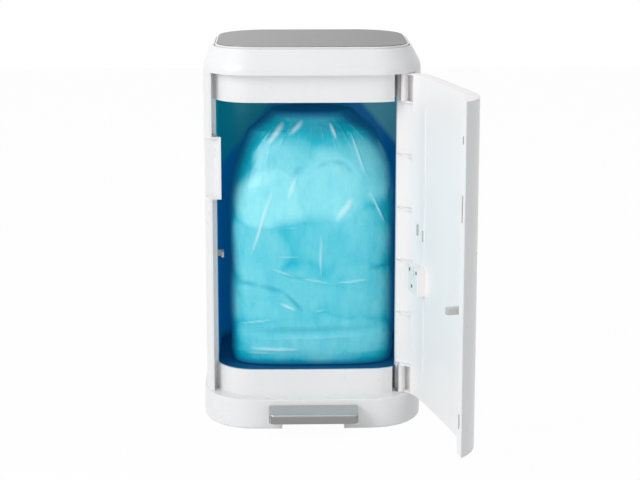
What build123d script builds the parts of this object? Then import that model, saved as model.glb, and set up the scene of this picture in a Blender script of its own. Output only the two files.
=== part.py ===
"""Pedal nappy bin with a lift-up lid, a film cassette and a front door shown open.

Millimetres. X runs to the right, Y to the back, Z up. The origin is on the floor, under the
middle of the body. The door is modelled shut and then swung open about its hinge.
"""
from build123d import *
import math
import os

os.makedirs("parts", exist_ok=True)

# ---- driving dimensions -------------------------------------------------------------------
# body plan, a rounded rectangle whose front is slightly bowed
body_width = 330.0
body_depth = 270.0
half_width = body_width / 2
half_depth = body_depth / 2
front_bow = 5.0
front_corner = 76.0
rear_corner = 95.0
shell_wall = 3.0

# heights of the seams, from the floor
base_height = 48.0
body_top = 546.0
cap_shoulder = body_top + 10.0
cap_top = body_top + 37.0
lid_top = cap_top + 4.0

# clearances
gap = 0.3
door_gap = 0.7
door_clear = 0.8
pin_clearance = 0.08
pin_bevel = 0.4
open_pivot = 0.6
overcut = 1.0
beyond = body_width

# base
base_step = 3.5
base_wall = 3.0
deck_thick = 4.0
base_foot_round = 6.0
base_rim_round = 1.5
base_plate_thick = 3.0
base_plate_bevel = 2.0
foot_radius = 11.0
foot_thick = 1.6
foot_round = 0.5
foot_spread_x = half_width - 53.0
foot_spread_y = half_depth - 47.0
air_slot_count = 4
air_slot_pitch = 14.0
air_slot_length = 60.0
air_slot_width = 4.0
screw_spread_x = half_width - 65.0
screw_spread_y = half_depth - 65.0
screw_radius = 2.0
screw_head_radius = 3.8
screw_head_thick = 1.4
screw_sunk = 0.3
screw_length = 12.0
screw_boss_radius = 5.0
socket_radius = 7.5

# pedal, its lever and shaft
pedal_width = 135.0
pedal_reach = 35.0
pedal_height = 18.0
pedal_slope = 4.0
pedal_under = 22.0
pedal_rise = 3.0
pedal_wall = 1.6
pedal_front_wall = 3.0
pedal_lip = 8.0
pedal_end_round = 9.0
pedal_top_round = 2.0
notch_width = 95.0
notch_height = 36.0
notch_back = 30.0
lever_thick = 7.0
lever_width = 76.0
lever_arm = 14.0
lever_play = 2.0
tail_width = 16.0
pivot_y = -half_depth + 75.5
pivot_z = 24.0
pivot_radius = 3.0
hub_radius = 6.5
tail_z = 12.0
bracket_thick = 5.0
bracket_half = 11.0
bracket_drop = 9.0

# front frame behind the door: top band, sill and jambs
frame_side = 13.0
frame_set_back = 5.0
frame_wall = 3.0
sill_top = base_height + 40.5
band_bottom = body_top - 43.0
band_right = half_width - 42.5
band_lip = 3.5
band_lip_out = 0.5
jamb_front = -half_depth + 65.0
jamb_depth = 12.0

# door and its hinge
door_hinge_x = half_width - 31.0
door_hinge_y = -half_depth + 34.5
door_open_angle = 104.0
door_panel_gap = 1.0
door_wall = 2.5
door_panel_wall = 2.2
door_edge_y = -half_depth + 40.0
door_hinge_edge_y = -half_depth + 37.0
knuckle_radius = 9.2
knuckle_height = 42.0
hinge_pin_radius = 3.5
hinge_pin_flange = 6.0
hinge_pin_depth = 9.0
strip_left = half_width - 53.0
rib_thick = 2.0
rib_count = 6
edge_slots = ((86.0, 108.0), (378.0, 416.0), (486.0, 497.0))
edge_slot_left = -half_width + 19.0
edge_slot_wide = 5.0

# finger recess in the left post and the door's free edge
recess_low = 354.0
recess_high = 445.0
recess_depth = 9.0
recess_back = -half_depth + 61.5
recess_wall = 2.5

# sprung latch bolt in the left jamb, keeper on the door
latch_z = 261.0
latch_height = 8.5
latch_y = -half_depth + 71.0
latch_depth = 6.0
latch_reach = 12.5
latch_beak = 14.0
latch_tip = 4.0
latch_nose = 2.5
latch_tail = 3.0
catch_x = -half_width + 38.0
catch_width = 10.0
catch_height = 9.0
catch_tip = -half_depth + 55.0
catch_round = 2.5

# film cutter on the inside of the door
cutter_left = half_width - 101.0
cutter_right = half_width - 56.0
cutter_low = 217.0
cutter_high = cutter_low + 41.0
cutter_depth = 14.0
cutter_round = 1.5
cutter_slit_x = cutter_left + 19.0
cutter_slit = 2.6
cutter_slit_depth = 15.0
cutter_blade_thick = 0.6
cutter_blade_half = 5.6
cutter_blade_tall = 10.0
cutter_screw_radius = 1.3
cutter_screw_head = 2.6
cutter_screw_head_thick = 1.2
cutter_screw_length = 5.0

# lining of the waste chamber
drum_wall = 2.5
drum_floor_top = base_height + 37.0
drum_back = half_depth - 55.0
drum_top = body_top - 6.0
drum_corner = 35.0

# film cassette, its throat and the clamp under it
throat_y = -14.0
throat_radius = 60.0
cassette_radius = 82.0
cassette_flange = 87.0
cassette_wall = 2.4
cassette_height = 36.0
film_share = 0.7
clamp_low = body_top - 13.0
clamp_thick = 4.0
clamp_front = -half_depth + 45.0
clamp_front_half = 90.0
flap_length = 49.5
flap_pin_x = 50.0
flap_pin_z = clamp_low - 6.0
flap_pin_radius = 1.5
flap_thick = 3.0
flap_depth = 104.0
flap_knuckle = 3.2
flap_lip = 4.0
lug_thick = 4.0
lug_half = 4.0

# cap, lid and lid hinge
cap_wall = 4.0
cap_taper = 28.0
cap_shoulder_round = 28.0
cap_shoulder_wall = 10.0
cap_deck = cap_top - 12.0
lid_inset = 18.0
lid_gap = 1.6
lid_wall = 2.0
lid_round = 1.2
lid_rib_thick = 2.0
lid_rib_tall = 3.0
lid_rib_long = 9.4
lid_rib_pitch = 35.0
lid_rib_count = 5
lid_rib_front = lid_inset - half_depth + front_bow
lid_low = cap_deck + 4.0
steel_inset = 2.4
steel_thick = 1.2
lid_hinge_y = half_depth - 26.0
lid_hinge_z = cap_top - 2.0
lid_pin_radius = 2.5
lid_ear_x = 62.0
lid_ear_thick = 6.0
lid_ear_radius = 4.5
lid_knuckle_radius = 4.6
lid_relief_half = rear_corner + 13.0
seal_width = 5.0
crank_arm = 20.0
crank_start = 39.0
crank_pin_radius = 2.5
crank_thick = 5.0

# push rod that carries the pedal's travel up to the lid
rod_radius = 4.0
rod_pad_radius = 7.0
rod_pad_thick = 4.0
guide_wall = 5.0
guide_height = 14.0
guide_round = 3.0
guide_low = base_height + 102.0
guide_high = body_top - 76.0

# soft liner bag
bag_side_room = 16.5
bag_x = 0.0
bag_y = -15.0
bag_depth = body_depth - 112.0
bag_top_width = 128.0
bag_top_depth = 84.0
bag_top = band_bottom - 20.0
bag_shoulder = bag_top - 88.0
bag_heel = 30.0
bag_heel_in = 8.0
bag_corner = 46.0

# ---- values worked out from the driving ones ----------------------------------------------
deck_under = base_height - deck_thick
base_front = -half_depth - base_step
door_low = base_height + door_clear
door_high = body_top - door_clear
door_axis = Axis((door_hinge_x, door_hinge_y, 0), (0, 0, 1))
post_left_y = door_edge_y + door_gap
post_right_y = door_hinge_edge_y + door_gap
full = (base_height - overcut, body_top + overcut)
steel_low = lid_top - steel_thick
crank_y = lid_hinge_y - crank_arm * math.cos(math.radians(crank_start))
crank_z = lid_hinge_z - crank_arm * math.sin(math.radians(crank_start))
rod_y = crank_y - crank_arm * (1 - math.cos(math.radians(crank_start))) / 2
rod_top = crank_z - crank_pin_radius - open_pivot
tail_top = tail_z + lever_thick / 2
rod_low = tail_top + open_pivot
knuckle_low_top = door_low + knuckle_height
knuckle_high_low = door_high - knuckle_height
pedal_back = base_front - overcut
pedal_front = pedal_back - pedal_reach
latch_span_y = (latch_y - latch_depth / 2 - gap, latch_y + latch_depth / 2 + gap)
latch_span_z = (latch_z - latch_height / 2 - gap, latch_z + latch_height / 2 + gap)


def plan(inset=0.0):
    """Plan of the body, drawn inward by inset."""
    with BuildSketch(mode=Mode.PRIVATE) as flat:
        with BuildLine():
            ThreePointArc(
                (-half_width, -half_depth + front_bow),
                (0, -half_depth),
                (half_width, -half_depth + front_bow),
            )
            Polyline(
                (half_width, -half_depth + front_bow),
                (half_width, half_depth),
                (-half_width, half_depth),
                (-half_width, -half_depth + front_bow),
            )
        make_face()
        corners = flat.vertices().sort_by(Axis.Y)
        fillet(corners[:2], front_corner)
        fillet(flat.vertices().group_by(Axis.Y)[-1], rear_corner)
        if inset:
            offset(amount=-inset)
    return flat.sketch


def inner_plan(inset=0.0):
    """Plan of the frame behind the door: narrower than the body and set back from its front."""
    return plan(frame_side + inset).moved(Location((0, frame_set_back, 0)))


def wall(low, high, outer, inner, mode=Mode.ADD):
    """Upright wall between two outlines."""
    with BuildSketch(Plane.XY.offset(low)) as flat:
        add(outer)
        add(inner, mode=Mode.SUBTRACT)
    extrude(flat.sketch, amount=high - low, mode=mode)


def slab(low, high, outline, mode=Mode.ADD):
    """Flat layer with a given outline."""
    with BuildSketch(Plane.XY.offset(low)) as flat:
        add(outline)
    extrude(flat.sketch, amount=high - low, mode=mode)


def block(x, y, z, mode=Mode.ADD):
    """Box between two limits on each axis."""
    with Locations(((x[0] + x[1]) / 2, (y[0] + y[1]) / 2, (z[0] + z[1]) / 2)):
        Box(x[1] - x[0], y[1] - y[0], z[1] - z[0], mode=mode)


def post(x, y, low, high, radius, mode=Mode.ADD):
    """Upright round bar or, subtracted, a bore."""
    with Locations((x, y, (low + high) / 2)):
        Cylinder(radius, high - low, mode=mode)


def cross_bar(y, z, x, radius, mode=Mode.ADD):
    """Round bar along X between two limits or, subtracted, a bore."""
    with BuildSketch(Plane.YZ.offset(x[0])) as flat:
        with Locations((y, z)):
            Circle(radius)
    extrude(flat.sketch, amount=x[1] - x[0], mode=mode)


def clear_door_path(low, high):
    """Room for the open door, and for its end that swings in behind the hinge."""
    reach = door_sweep + 2 * gap
    last = math.radians(door_edge_angle + door_open_angle)
    with BuildSketch(Plane.XY.offset(low)) as well:
        with Locations((door_hinge_x, door_hinge_y)):
            Circle(reach)
        with Locations((door_hinge_x + reach * math.cos(last) - reach, door_hinge_y)):
            Rectangle(2 * reach, 2 * reach, mode=Mode.SUBTRACT)
        with Locations((door_hinge_x, door_hinge_y)):
            Circle(knuckle_radius + 2 * gap)
    extrude(well.sketch, amount=high - low, mode=Mode.SUBTRACT)
    with BuildSketch() as footprint:
        add(plan(-2 * gap))
        with Locations((0, door_hinge_edge_y + 2 * gap + body_depth)):
            Rectangle(2 * body_width, 2 * body_depth, mode=Mode.SUBTRACT)
    swung = footprint.sketch.rotate(door_axis, door_open_angle).moved(Location((0, 0, low)))
    extrude(swung, amount=high - low, mode=Mode.SUBTRACT)


def write(piece, name):
    """Label a finished piece and write its file."""
    piece.part.label = name
    export_step(piece.part, f"parts/{name}.step")


def swing_open(piece):
    """Turn a piece of the shut door to where the open door holds it."""
    piece.part = piece.part.rotate(door_axis, door_open_angle)


# the front corner on the hinge side, and how far the door's end swings in behind its hinge
corner_arcs = plan().edges().filter_by(GeomType.CIRCLE).filter_by(lambda e: e.radius == front_corner)
corner_centre = corner_arcs.sort_by(Axis.X)[-1].arc_center
door_edge_x = corner_centre.X + math.sqrt(front_corner**2 - (door_hinge_edge_y - corner_centre.Y) ** 2)
door_sweep = math.hypot(door_edge_x - door_hinge_x, door_hinge_edge_y - door_hinge_y)
door_edge_angle = math.degrees(math.atan2(door_hinge_edge_y - door_hinge_y, door_edge_x - door_hinge_x))

# ---- base ---------------------------------------------------------------------------------
screw_places = [(sx * screw_spread_x, sy * screw_spread_y) for sx in (-1, 1) for sy in (-1, 1)]
foot_places = [(sx * foot_spread_x, sy * foot_spread_y) for sx in (-1, 1) for sy in (-1, 1)]
plate_inset = base_wall - base_step + gap
notch = notch_width / 2
notch_span_y = (base_front - overcut, base_front + notch_back)

pin_floor = deck_under - hinge_pin_depth

with BuildPart() as base:
    slab(0, base_height, plan(-base_step))
    fillet(base.faces().sort_by(Axis.Z)[0].edges(), base_foot_round)
    fillet(base.faces().sort_by(Axis.Z)[-1].edges(), base_rim_round)
    slab(0, deck_under, plan(base_wall - base_step), Mode.SUBTRACT)
    for x, y in screw_places:
        post(x, y, base_plate_thick, deck_under, screw_boss_radius)
        post(x, y, base_plate_thick, base_plate_thick + screw_length, screw_radius, Mode.SUBTRACT)
    # opening under the pedal for its lever
    block((-notch, notch), notch_span_y, (0, notch_height), Mode.SUBTRACT)
    # cheeks that carry the pedal shaft
    for side in (-1, 1):
        inner = side * (lever_width / 2 + lever_play)
        cheek = sorted((inner, inner + side * bracket_thick))
        block(cheek, (pivot_y - bracket_half, pivot_y + bracket_half), (pivot_z - bracket_drop, deck_under))
    cross_bar(pivot_y, pivot_z, (-lever_width, lever_width), pivot_radius + pin_clearance, Mode.SUBTRACT)
    # boss for the lower door pin, hole for the push rod
    post(door_hinge_x, door_hinge_y, pin_floor - deck_thick, deck_under, socket_radius)
    post(door_hinge_x, door_hinge_y, pin_floor - overcut, base_height, hinge_pin_radius, Mode.SUBTRACT)
    post(0, rod_y, deck_under, base_height, rod_pad_radius, Mode.SUBTRACT)
write(base, "base")

with BuildPart() as base_plate:
    slab(0, base_plate_thick, plan(plate_inset))
    chamfer(base_plate.faces().sort_by(Axis.Z)[0].edges(), base_plate_bevel)
    block((-notch, notch), (notch_span_y[0], notch_span_y[1] + lever_play),
          (-overcut, base_plate_thick + overcut), Mode.SUBTRACT)
    for x, y in screw_places:
        post(x, y, 0, base_plate_thick, screw_radius + pin_clearance, Mode.SUBTRACT)
        post(x, y, 0, screw_head_thick, screw_head_radius + gap, Mode.SUBTRACT)
    for x, y in foot_places:
        post(x, y, 0, foot_thick, foot_radius + gap, Mode.SUBTRACT)
    # air slots
    with BuildSketch():
        with GridLocations(0, air_slot_pitch, 1, air_slot_count):
            SlotOverall(air_slot_length, air_slot_width)
    extrude(amount=base_plate_thick, mode=Mode.SUBTRACT)
write(base_plate, "base_plate")

with BuildPart() as base_screws:
    for x, y in screw_places:
        post(x, y, screw_sunk, screw_head_thick, screw_head_radius)
        post(x, y, screw_head_thick, base_plate_thick + screw_length - overcut, screw_radius)
write(base_screws, "base_screws")

with BuildPart() as feet:
    for x, y in foot_places:
        post(x, y, 0, foot_thick, foot_radius)
    fillet(feet.faces().sort_by(Axis.Z)[:len(foot_places)].edges(), foot_round)
write(feet, "feet")

# ---- pedal --------------------------------------------------------------------------------
pedal_rear_top = pedal_under + pedal_height
pedal_front_top = pedal_rear_top - pedal_slope
pedal_top_wall = pedal_wall + overcut

with BuildPart() as pedal_cover:
    with BuildSketch(Plane.YZ.offset(-pedal_width / 2)):
        with BuildLine():
            Polyline(
                (pedal_back, pedal_under + pedal_rise),
                (pedal_back, pedal_rear_top),
                (pedal_front, pedal_front_top),
                (pedal_front, pedal_under),
                (pedal_front + pedal_lip, pedal_under),
                (pedal_back, pedal_under + pedal_rise),
            )
        make_face()
    extrude(amount=pedal_width)
    uprights = pedal_cover.edges().filter_by(Axis.Z).group_by(Axis.Y)[0]
    fillet(uprights, pedal_end_round)
    top_rim = pedal_cover.faces().sort_by(Axis.Z)[-1].edges()
    fillet(top_rim, pedal_top_round)
    # hollow underneath, open to the back and below
    with BuildSketch(Plane.YZ.offset(-pedal_width / 2 + pedal_wall)):
        with BuildLine():
            Polyline(
                (pedal_back + overcut, pedal_under - overcut),
                (pedal_back + overcut, pedal_rear_top - pedal_top_wall),
                (pedal_front + pedal_front_wall, pedal_front_top - pedal_top_wall),
                (pedal_front + pedal_front_wall, pedal_under - overcut),
                close=True,
            )
        make_face()
    extrude(amount=pedal_width - 2 * pedal_wall, mode=Mode.SUBTRACT)
write(pedal_cover, "pedal_cover")

lever_front = pedal_front + pedal_front_wall + gap
lever_z = pedal_front_top - pedal_top_wall - gap - lever_thick
with BuildPart() as pedal_lever:
    # toe plate and its run back to the hub
    with BuildSketch(Plane.YZ.offset(-lever_width / 2)):
        with BuildLine():
            Polyline(
                (lever_front, lever_z),
                (lever_front, lever_z + lever_thick),
                (pivot_y, pivot_z + lever_thick / 2),
                (pivot_y, pivot_z - lever_thick / 2),
                close=True,
            )
        make_face()
    extrude(amount=lever_width)
    # tail under the push rod
    with BuildSketch(Plane.YZ.offset(-tail_width / 2)):
        with BuildLine():
            Polyline(
                (pivot_y, pivot_z - lever_thick / 2),
                (pivot_y, pivot_z + lever_thick / 2),
                (rod_y - rod_pad_radius, tail_top),
                (rod_y + rod_pad_radius, tail_top),
                (rod_y + rod_pad_radius, tail_top - lever_thick),
                (rod_y - rod_pad_radius, tail_top - lever_thick),
                close=True,
            )
        make_face()
    extrude(amount=tail_width)
    cross_bar(pivot_y, pivot_z, (-lever_width / 2, lever_width / 2), hub_radius)
    cross_bar(pivot_y, pivot_z, (-lever_width, lever_width), pivot_radius + pin_clearance, Mode.SUBTRACT)
    # window between the two arms
    window = (-lever_width / 2 + lever_arm, lever_width / 2 - lever_arm)
    block(window, (base_front + lever_arm, pivot_y - 2 * hub_radius), (0, base_height), Mode.SUBTRACT)
write(pedal_lever, "pedal_lever")

shaft_half = lever_width / 2 + bracket_thick + 2 * lever_play
with BuildPart() as pedal_shaft:
    cross_bar(pivot_y, pivot_z, (-shaft_half, shaft_half), pivot_radius)
    chamfer(pedal_shaft.edges().filter_by(GeomType.CIRCLE), pin_bevel)
write(pedal_shaft, "pedal_shaft")

with BuildPart() as push_rod:
    post(0, rod_y, rod_low, rod_top, rod_radius)
    post(0, rod_y, rod_top - rod_pad_thick, rod_top, rod_pad_radius)
    fillet(push_rod.edges().group_by(Axis.Z)[-1], 2 * pin_bevel)
    fillet(push_rod.edges().group_by(Axis.Z)[0], rod_radius / 2)
write(push_rod, "push_rod")

# ---- rear shell ---------------------------------------------------------------------------
with BuildPart() as rear_shell:
    wall(base_height, body_top, plan(), plan(shell_wall))
    span = (recess_low - recess_wall, recess_high + recess_wall)
    # pocket for the fingers: a thick pad on the inside, then a scoop from the front edge
    with BuildSketch(Plane.XY.offset(span[0])):
        add(plan(0))
        with Locations((-half_width, (post_left_y + recess_back) / 2)):
            Rectangle(front_corner, recess_back - post_left_y, mode=Mode.INTERSECT)
        add(plan(recess_depth + shell_wall + recess_wall), mode=Mode.SUBTRACT)
    extrude(amount=span[1] - span[0])
    with BuildSketch(Plane.XY.offset(recess_low)):
        add(plan(-recess_depth))
        with Locations((-half_width, recess_back - shell_wall - front_corner / 2)):
            Rectangle(front_corner, front_corner, mode=Mode.INTERSECT)
        add(plan(recess_depth + shell_wall), mode=Mode.SUBTRACT)
    extrude(amount=recess_high - recess_low, mode=Mode.SUBTRACT)
    # the front is left open between the two posts
    block((-beyond, 0), (-beyond, post_left_y), full, Mode.SUBTRACT)
    block((0, beyond), (-beyond, post_right_y), full, Mode.SUBTRACT)
    clear_door_path(*full)
write(rear_shell, "rear_shell")

# ---- front frame --------------------------------------------------------------------------
recess_span = (recess_low - recess_wall - gap, recess_high + recess_wall + gap)
jamb_back = jamb_front + jamb_depth
with BuildPart() as front_frame:
    wall(base_height, body_top, inner_plan(), inner_plan(frame_wall))
    wall(band_bottom, band_bottom + band_lip, inner_plan(-band_lip_out), inner_plan(frame_wall))
    block((-beyond, beyond), (jamb_back, beyond), full, Mode.SUBTRACT)
    block((-beyond, beyond), (-beyond, jamb_front), (sill_top, band_bottom), Mode.SUBTRACT)
    block((band_right, beyond), (-beyond, jamb_front), full, Mode.SUBTRACT)
    # narrow returns that close the gap to the outer shell
    with BuildSketch(Plane.XY.offset(base_height)):
        add(plan(shell_wall))
        add(inner_plan(frame_wall / 2), mode=Mode.SUBTRACT)
        with Locations((0, jamb_front + frame_wall / 2)):
            Rectangle(body_width, frame_wall, mode=Mode.INTERSECT)
    extrude(amount=body_top - base_height)
    # cheeks behind the hinge that join the right jamb to the band and the sill
    for low, high in ((base_height, drum_floor_top - drum_wall - gap), (band_bottom, body_top)):
        with BuildSketch(Plane.XY.offset(low)):
            with Locations((band_right - frame_wall / 2, jamb_back - body_depth / 2)):
                Rectangle(frame_wall, body_depth)
            with Locations((band_right - frame_wall + body_width / 2, jamb_back - frame_wall / 2)):
                Rectangle(body_width, frame_wall)
            add(inner_plan(frame_wall / 2), mode=Mode.INTERSECT)
        extrude(amount=high - low)
    # left clear for the finger recess and for the latch bolt
    block((-beyond, -half_width + recess_depth + shell_wall + recess_wall + gap),
          (-beyond, jamb_back + overcut), recess_span, Mode.SUBTRACT)
    block((-half_width + 2 * shell_wall, 0), latch_span_y, latch_span_z, Mode.SUBTRACT)
    clear_door_path(*full)
write(front_frame, "front_frame")

# ---- lining of the chamber ----------------------------------------------------------------
drum_inset = frame_wall + gap
drum_front = jamb_back + gap
with BuildPart() as inner_drum:
    half = half_width - frame_side - drum_inset
    with BuildSketch(Plane.XY.offset(base_height)) as drum_plan:
        with Locations((0, (drum_front + drum_back) / 2)):
            Rectangle(2 * half, drum_back - drum_front)
        fillet(drum_plan.vertices().group_by(Axis.Y)[-1], drum_corner)
    extrude(amount=drum_top - base_height)
    with BuildSketch(Plane.XY.offset(base_height)) as drum_hollow:
        with Locations((0, (drum_front + drum_back) / 2 - drum_wall)):
            Rectangle(2 * (half - drum_wall), drum_back - drum_front)
        fillet(drum_hollow.vertices().group_by(Axis.Y)[-1], drum_corner - drum_wall)
    extrude(amount=drum_top - base_height, mode=Mode.SUBTRACT)
    # floor, brought forward to the sill
    with BuildSketch(Plane.XY.offset(drum_floor_top - drum_wall)):
        add(inner_plan(drum_inset))
        with Locations((0, drum_back - body_depth)):
            Rectangle(body_width, 2 * body_depth, mode=Mode.INTERSECT)
        add(drum_plan.sketch)
    extrude(amount=drum_wall)
    clear_door_path(base_height, drum_top)
write(inner_drum, "inner_drum")

with BuildPart() as rod_guides:
    for low in (guide_low, guide_high):
        depth = (drum_back, rod_y + rod_radius + guide_wall)
        block((-rod_radius - guide_wall, rod_radius + guide_wall), depth, (low, low + guide_height))
        post(0, rod_y, low, low + guide_height, rod_radius + pin_clearance, Mode.SUBTRACT)
    uprights = rod_guides.edges().filter_by(Axis.Z).group_by(Axis.Y)[-1]
    fillet(uprights, guide_round)
write(rod_guides, "rod_guides")

# ---- cap ----------------------------------------------------------------------------------
cap_deck_under = cap_deck - deck_thick
lid_rear = half_depth - lid_inset
lid_sweep = math.hypot(lid_rear - lid_hinge_y, lid_hinge_z - lid_low) + lid_gap / 2
ear_span = (lid_ear_x, lid_ear_x + lid_ear_thick)
crank_half = rod_pad_radius + overcut + crank_thick
slot_y = (crank_y - crank_arm / 2, lid_hinge_y - lid_knuckle_radius)
relief_half = lid_ear_x + 2 * lid_ear_thick

with BuildPart() as top_cap:
    slab(body_top, cap_shoulder, plan(0))
    with BuildSketch(Plane.XY.offset(cap_shoulder)):
        add(plan(0))
    extrude(amount=cap_top - cap_shoulder, taper=cap_taper)
    shoulder = top_cap.edges().filter_by(lambda edge: abs(edge.center().Z - cap_shoulder) < 0.01)
    fillet(shoulder, cap_shoulder_round)
    # well for the lid, then the hollow underneath its deck
    slab(cap_deck, cap_top + overcut, plan(lid_inset - lid_gap), Mode.SUBTRACT)
    slab(body_top - overcut, body_top + shell_wall, inner_plan(frame_wall + overcut), Mode.SUBTRACT)
    slab(body_top + shell_wall, cap_shoulder, plan(cap_wall), Mode.SUBTRACT)
    slab(cap_shoulder, cap_deck_under, plan(cap_shoulder_wall), Mode.SUBTRACT)
    post(0, throat_y, body_top, cap_deck + overcut, cassette_radius + gap, Mode.SUBTRACT)
    # room for the lid's rear edge to dip as it opens, and for the crank and rod
    cross_bar(lid_hinge_y, lid_hinge_z, (-relief_half, relief_half), lid_sweep, Mode.SUBTRACT)
    block((-lid_relief_half, lid_relief_half), (lid_hinge_y - lid_ear_radius, half_depth),
          (cap_deck, cap_top + overcut), Mode.SUBTRACT)
    block((-crank_half - overcut, crank_half + overcut), slot_y, (body_top, cap_deck + overcut),
          Mode.SUBTRACT)
    # ears that hold the hinge pin
    for side in (-1, 1):
        span_x = sorted((side * ear_span[0], side * ear_span[1]))
        cross_bar(lid_hinge_y, lid_hinge_z, span_x, lid_ear_radius)
        stem = (lid_hinge_y - lid_ear_radius, lid_hinge_y + lid_ear_radius)
        block(span_x, stem, (cap_deck_under, lid_hinge_z))
    cross_bar(lid_hinge_y, lid_hinge_z, (-ear_span[1], ear_span[1]), lid_pin_radius + pin_clearance,
              Mode.SUBTRACT)
    # socket for the upper door pin
    post(door_hinge_x, door_hinge_y, body_top, cap_shoulder, socket_radius)
    post(door_hinge_x, door_hinge_y, body_top, body_top + hinge_pin_depth, hinge_pin_radius, Mode.SUBTRACT)
write(top_cap, "top_cap")

with BuildPart() as lid_pin:
    cross_bar(lid_hinge_y, lid_hinge_z, (-ear_span[1] - overcut, ear_span[1] + overcut), lid_pin_radius)
    chamfer(lid_pin.edges().filter_by(GeomType.CIRCLE), pin_bevel)
write(lid_pin, "lid_pin")

# ---- lid ----------------------------------------------------------------------------------
lid_under = steel_low - lid_wall
lid_ribs = [lid_rib_pitch * (i - (lid_rib_count - 1) / 2) for i in range(lid_rib_count)]
knuckle_span = (crank_half + gap, lid_ear_x - gap)

with BuildPart() as lid_frame:
    slab(lid_low, steel_low, plan(lid_inset))
    fillet(lid_frame.faces().sort_by(Axis.Z)[-1].edges(), lid_round)
    slab(lid_low - overcut, lid_under, plan(lid_inset + shell_wall), Mode.SUBTRACT)
    for side in (-1, 1):
        span_x = sorted((side * knuckle_span[0], side * knuckle_span[1]))
        cross_bar(lid_hinge_y, lid_hinge_z, span_x, lid_knuckle_radius)
        cut_x = sorted((side * (ear_span[0] - gap), side * (ear_span[1] + gap)))
        block(cut_x, (lid_hinge_y - lid_ear_radius - lid_gap, half_depth), (lid_low - overcut, lid_top),
              Mode.SUBTRACT)
    cross_bar(lid_hinge_y, lid_hinge_z, (-crank_half - gap, crank_half + gap),
              lid_knuckle_radius + gap, Mode.SUBTRACT)
    # stiffening ribs under the front of the lid
    for x in lid_ribs:
        block((x - lid_rib_thick / 2, x + lid_rib_thick / 2),
              (lid_rib_front, lid_rib_front + lid_rib_long),
              (lid_under - lid_rib_tall, lid_under))
    cross_bar(lid_hinge_y, lid_hinge_z, (-lid_ear_x, lid_ear_x), lid_pin_radius + pin_clearance,
              Mode.SUBTRACT)
write(lid_frame, "lid_frame")

with BuildPart() as lid_plate:
    slab(steel_low, lid_top, plan(lid_inset + steel_inset))
    fillet(lid_plate.faces().sort_by(Axis.Z)[-1].edges(), 2 * pin_bevel)
write(lid_plate, "lid_plate")

rim_top = lid_low + lid_wall
with BuildPart() as lid_seal:
    with BuildSketch(Plane.XY.offset(rim_top + gap)):
        with Locations((0, throat_y)):
            Circle(throat_radius + seal_width)
            Circle(throat_radius, mode=Mode.SUBTRACT)
    extrude(amount=lid_under - rim_top - gap)
write(lid_seal, "lid_seal")

with BuildPart() as lid_crank:
    cross_bar(lid_hinge_y, lid_hinge_z, (-crank_half, crank_half), lid_knuckle_radius)
    cross_bar(crank_y, crank_z, (-crank_half, crank_half), crank_pin_radius)
    for side in (-1, 1):
        span_x = sorted((side * (crank_half - crank_thick), side * crank_half))
        with BuildSketch(Plane.YZ.offset(span_x[0])):
            with Locations(((crank_y + lid_hinge_y) / 2, (crank_z + lid_hinge_z) / 2)):
                SlotCenterToCenter(crank_arm, 2 * lid_knuckle_radius, rotation=crank_start)
        extrude(amount=crank_thick)
    # foot screwed up against the underside of the lid
    block((-crank_half, crank_half), (crank_y - lid_knuckle_radius, lid_hinge_y - lid_wall),
          (lid_under - lid_wall, lid_under))
    cross_bar(lid_hinge_y, lid_hinge_z, (-lid_ear_x, lid_ear_x), lid_pin_radius + pin_clearance,
              Mode.SUBTRACT)
write(lid_crank, "lid_crank")

# ---- film cassette and the clamp under it --------------------------------------------------
cassette_low = rim_top - cassette_height
with BuildPart() as cassette:
    with BuildSketch(Plane.XZ):
        with BuildLine():
            floor = cassette_low + cassette_wall
            Polyline(
                (throat_radius, cassette_low),
                (cassette_radius, cassette_low),
                (cassette_radius, cap_deck),
                (cassette_flange, cap_deck),
                (cassette_flange, cap_deck + cassette_wall),
                (cassette_radius - cassette_wall, cap_deck + cassette_wall),
                (cassette_radius - cassette_wall, floor),
                (throat_radius + cassette_wall, floor),
                (throat_radius + cassette_wall, rim_top),
                (throat_radius, rim_top),
                close=True,
            )
        make_face()
    revolve(axis=Axis.Z)
cassette.part = cassette.part.moved(Location((0, throat_y, 0)))
write(cassette, "cassette")

with BuildPart() as film_pack:
    with BuildSketch(Plane.XY.offset(cassette_low + cassette_wall)):
        with Locations((0, throat_y)):
            Circle(cassette_radius - cassette_wall - gap)
            Circle(throat_radius + cassette_wall + gap, mode=Mode.SUBTRACT)
    extrude(amount=cassette_height * film_share)
write(film_pack, "film_pack")

flap_half = flap_depth / 2
lug_y = (flap_half + gap, flap_half + gap + lug_thick)
with BuildPart() as clamp_frame:
    with BuildSketch(Plane.XY.offset(clamp_low)) as clamp_plan:
        with Locations((0, drum_back - drum_wall - gap - throat_radius)):
            Rectangle(2 * (half - drum_wall - gap), 2 * throat_radius)
        fillet(clamp_plan.vertices().group_by(Axis.Y)[-1], drum_corner - drum_wall)
        with Locations((0, (drum_back - throat_radius + clamp_front) / 2)):
            Rectangle(2 * clamp_front_half, drum_back - throat_radius - clamp_front)
        with Locations((0, throat_y)):
            Rectangle(2 * (flap_pin_x + overcut), flap_depth + 2 * overcut, mode=Mode.SUBTRACT)
    extrude(amount=clamp_thick)
    for sx in (-1, 1):
        for sy in (-1, 1):
            ends = sorted((throat_y + sy * lug_y[0], throat_y + sy * lug_y[1]))
            block((sx * flap_pin_x - lug_half, sx * flap_pin_x + lug_half), ends,
                  (flap_pin_z - lug_half, clamp_low))
        with BuildSketch(Plane.XZ.offset(-throat_y)) as bore:
            with Locations((sx * flap_pin_x, flap_pin_z)):
                Circle(flap_pin_radius + pin_clearance)
        extrude(amount=flap_depth, both=True, mode=Mode.SUBTRACT)
write(clamp_frame, "clamp_frame")

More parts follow.
